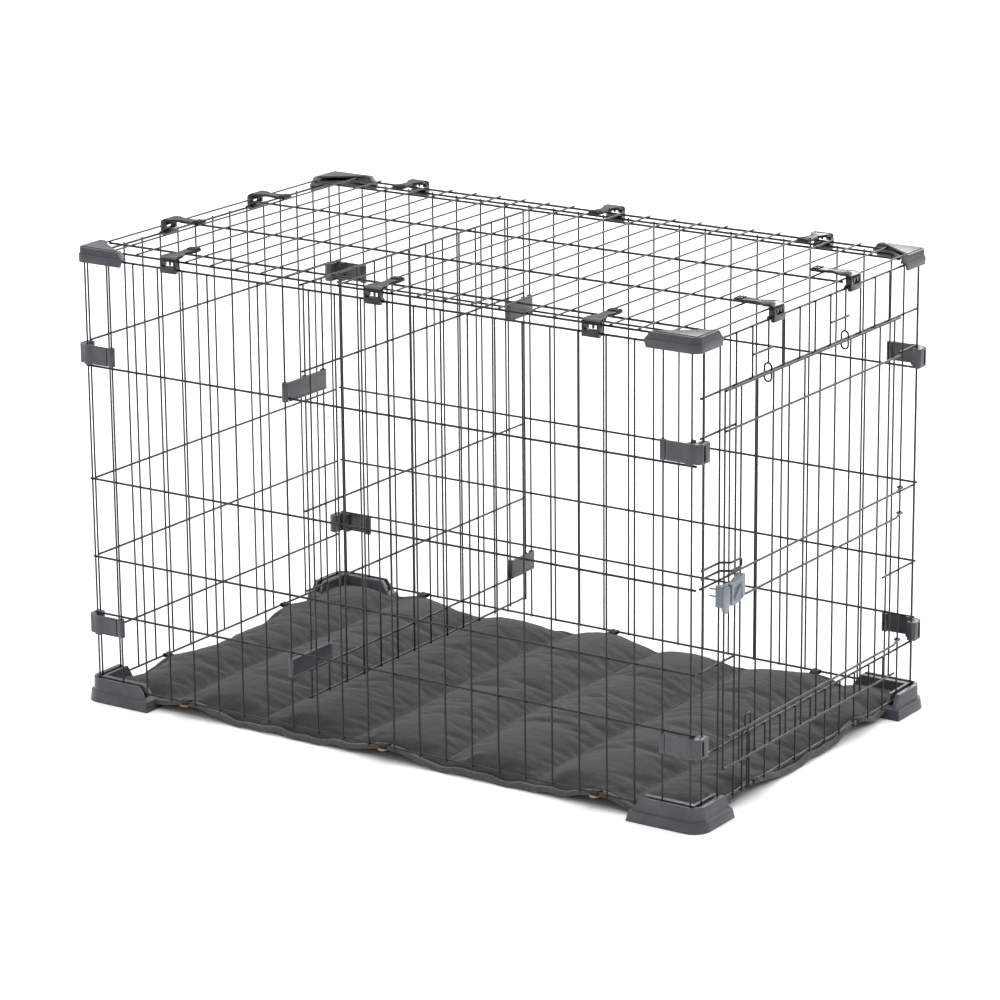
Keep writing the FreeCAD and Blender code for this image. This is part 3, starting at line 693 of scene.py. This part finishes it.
# ---- ties -----------------------------------------------------------------------------
def tie_profile(pad_edge, wall_plane):
    """Middle line of a tie in (outward, up): from the pad, round the wire, and back."""
    wire = wall_plane - LEVEL_WIRE_INSET
    outer, inner = pad_edge + 0.002, pad_edge - 0.002
    route = [(inner, BOTTOM_WIRE_Z - 0.0028), (outer, BOTTOM_WIRE_Z - 0.0026)]
    for k in range(9):
        turn = math.radians(-90 + 180 * k / 8)
        route.append((wire + TIE_BEND * math.cos(turn), BOTTOM_WIRE_Z + TIE_BEND * math.sin(turn)))
    route += [(outer, BOTTOM_WIRE_Z + 0.0014), (inner, BOTTOM_WIRE_Z - 0.0006)]
    return route


def add_tie(bm, place, angle, pad_edge, wall_plane, dice):
    """One strap, as wide as the tape and open like a loop."""
    route = tie_profile(pad_edge, wall_plane)
    turn = Quaternion((0, 0, 1), math.radians(angle))
    shift = Vector((place, 0, 0)) if angle in (0, 180) else Vector((0, place, 0))
    rings = []
    for index, (out, up) in enumerate(route):
        before = route[max(index - 1, 0)]
        after = route[min(index + 1, len(route) - 1)]
        run = Vector((after[0] - before[0], after[1] - before[1])).normalized()
        normal = (run[1], -run[0])
        face = [(share, thick * TIE_SKIN / 2) for share, thick in TIE_SECTION]
        outline = face + [(share, -thick) for share, thick in reversed(face)]
        verts = []
        for share, off in outline:
            wobble = 0.0002 * math.sin(index * 1.3 + share * 2 + dice.uniform(-0.2, 0.2))
            local = Vector((
                share * TIE_WIDTH / 2,
                -(out + normal[0] * (off + wobble)),
                up + normal[1] * (off + wobble),
            ))
            verts.append(bm.verts.new(turn @ local + shift))
        rings.append(verts)
    loft(bm, rings)
    bm.faces.new(rings[0][::-1])
    bm.faces.new(rings[-1])


def make_ties():
    """Fabric ties from the pad round the bottom wires, on all four sides."""
    bm = bmesh.new()
    dice = random.Random(3)
    for angle in (0, 90, 180, 270):
        lengthwise = angle in (0, 180)
        edge, plane = (TIE_ROOT_Y, HALF_DEPTH) if lengthwise else (TIE_ROOT_X, HALF_WIDTH)
        for place in TIE_X if lengthwise else TIE_Y:
            add_tie(bm, place, angle, edge, plane, dice)
    mesh = mesh_of(bm, "strap_ties")
    add_mesh("strap_ties", mesh, STRAP, BODY, ("mattress_ties",))


def make_buttons():
    """Lens-shaped snap button under each front tie."""
    bm = bmesh.new()
    middle_z = BOTTOM_WIRE_Z - BUTTON_DROP
    for place in TIE_X:
        rings = []
        for share, height in BUTTON_PROFILE:
            ring = []
            for k in range(28):
                turn = math.tau * k / 28
                ring.append(bm.verts.new((
                    place + BUTTON_RADIUS * share * math.cos(turn),
                    LEVEL_WIRE_INSET - HALF_DEPTH + BUTTON_RADIUS * share * math.sin(turn),
                    middle_z + BUTTON_HALF_HEIGHT * height,
                )))
            rings.append(ring)
        loft(bm, rings)
        bm.faces.new(rings[0][::-1])
        bm.faces.new(rings[-1])
    mesh = mesh_of(bm, "snap_buttons")
    add_mesh("snap_buttons", mesh, SNAP, BODY, ("tie_buttons",))


# ---- set ------------------------------------------------------------------------------
def make_floor():
    """Wide pale floor, which isn't part of the crate."""
    bm = bmesh.new()
    bmesh.ops.create_grid(bm, x_segments=2, y_segments=2, size=FLOOR_HALF)
    mesh = mesh_of(bm, "floor")
    floor = bpy.data.objects.new("floor", mesh)
    mesh.materials.append(studio_floor())
    bpy.context.collection.objects.link(floor)
    floor.location.z = -FLOOR_DROP


def make_light(name, place, target, size, power, size_y=None):
    """Rectangular soft box aimed at a target."""
    light = bpy.data.lights.new(name, "AREA")
    light.shape = "RECTANGLE"
    light.size = size
    light.size_y = size_y or size
    light.energy = power
    lamp = bpy.data.objects.new(name, light)
    bpy.context.collection.objects.link(lamp)
    lamp.location = place
    toward = Vector(target) - Vector(place)
    lamp.rotation_mode = "QUATERNION"
    lamp.rotation_quaternion = toward.to_track_quat("-Z", "Y")


def make_lights():
    """White studio: weak surround, wide soft ceiling, banks behind and on the left."""
    world = bpy.data.worlds.new("studio")
    bpy.context.scene.world = world
    world.use_nodes = True
    background = world.node_tree.nodes["Background"]
    background.inputs["Color"].default_value = (1, 1, 1, 1)
    background.inputs["Strength"].default_value = 0.55
    make_light("ceiling", (0, 2.0, 5.0), (0, 2.0, 0), 15.0, 900)
    make_light("back_bank", (0.5, 5.0, 2.7), (0, 0, 0.3), 6.0, 170, size_y=1.6)
    make_light("left_bank", (-4.6, -1.2, 3.0), (0, 0, 0.3), 1.6, 60, size_y=3.0)


def make_camera():
    """Long lens, right of the front and a little above."""
    azimuth = math.radians(CAMERA_AZIMUTH)
    elevation = math.radians(CAMERA_ELEVATION)
    data = bpy.data.cameras.new("camera")
    data.sensor_width = 36
    data.lens = CAMERA_LENS
    camera = bpy.data.objects.new("camera", data)
    bpy.context.collection.objects.link(camera)
    back = Vector((
        math.sin(azimuth) * math.cos(elevation),
        -math.cos(azimuth) * math.cos(elevation),
        math.sin(elevation),
    ))
    camera.location = CAMERA_PLACE
    camera.rotation_mode = "QUATERNION"
    aim = (-back).to_track_quat("-Z", "Y")
    camera.rotation_quaternion = aim @ Quaternion((0, 0, 1), math.radians(CAMERA_ROLL))
    bpy.context.scene.camera = camera


def main():
    """Set the scene, then make every piece."""
    bpy.context.scene.view_settings.view_transform = "Standard"
    make_camera()
    make_floor()
    make_lights()
    paint_wires()
    plastics()
    make_pad()
    make_binding()
    make_ties()
    make_buttons()


main()
